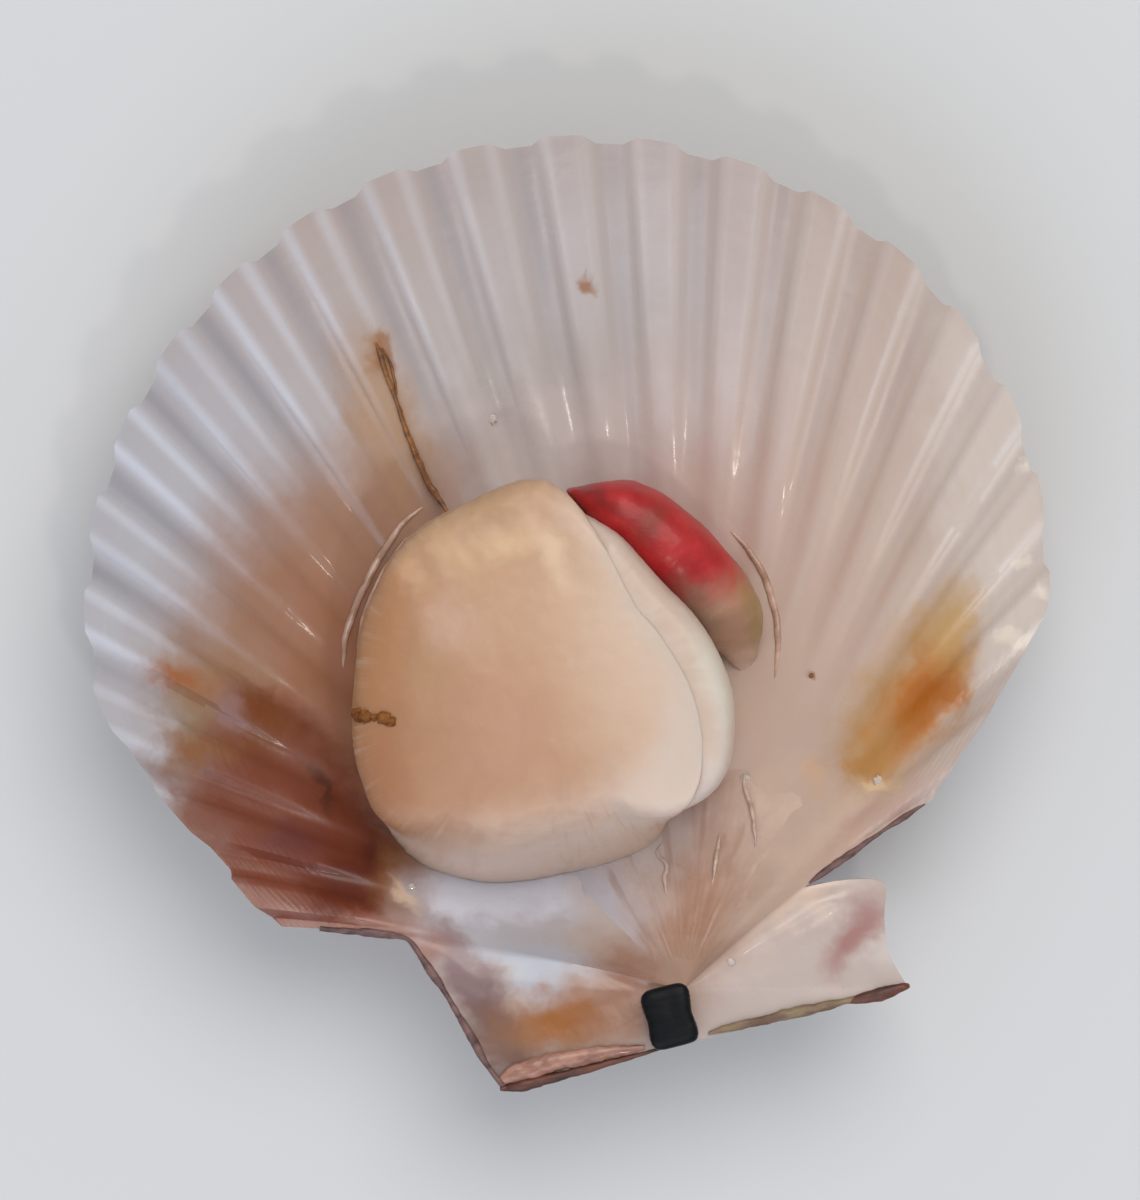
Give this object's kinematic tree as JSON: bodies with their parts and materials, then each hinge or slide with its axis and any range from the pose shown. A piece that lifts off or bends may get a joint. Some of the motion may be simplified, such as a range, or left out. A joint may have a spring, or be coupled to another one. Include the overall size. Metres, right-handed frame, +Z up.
{
  "type": "scallop in shell",
  "caption": "Raw queen scallop on the half shell: a ribbed fan-shaped valve with ears at a straight hinge, holding a round pale muscle and a red coral.",
  "frame": {"origin": "centre of the bounding box in plan, at the height of the flat spot that the valve rests on", "axes": "+X along the hinge line, +Y from the hinge towards the far rim, +Z up out of the open valve"},
  "size_m": [0.0642, 0.0614, 0.0146],
  "materials": {
    "valve_calcite": "wet gloss inside, dull ribs outside",
    "striated_flesh": "moist satin",
    "white_flesh": "moist satin",
    "roe": "wet gloss",
    "ligament_black": "satin",
    "hinge_skin_orange": "satin",
    "hinge_skin_olive": "satin"
  },
  "bodies": {
    "root": {"scallop_valve": "valve_calcite", "adductor_muscle": "striated_flesh", "catch_muscle": "white_flesh", "coral": "roe", "inner_ligament": "ligament_black", "hinge_strip_left": "hinge_skin_orange", "hinge_strip_right": "hinge_skin_olive"}
  },
  "joints": []
}
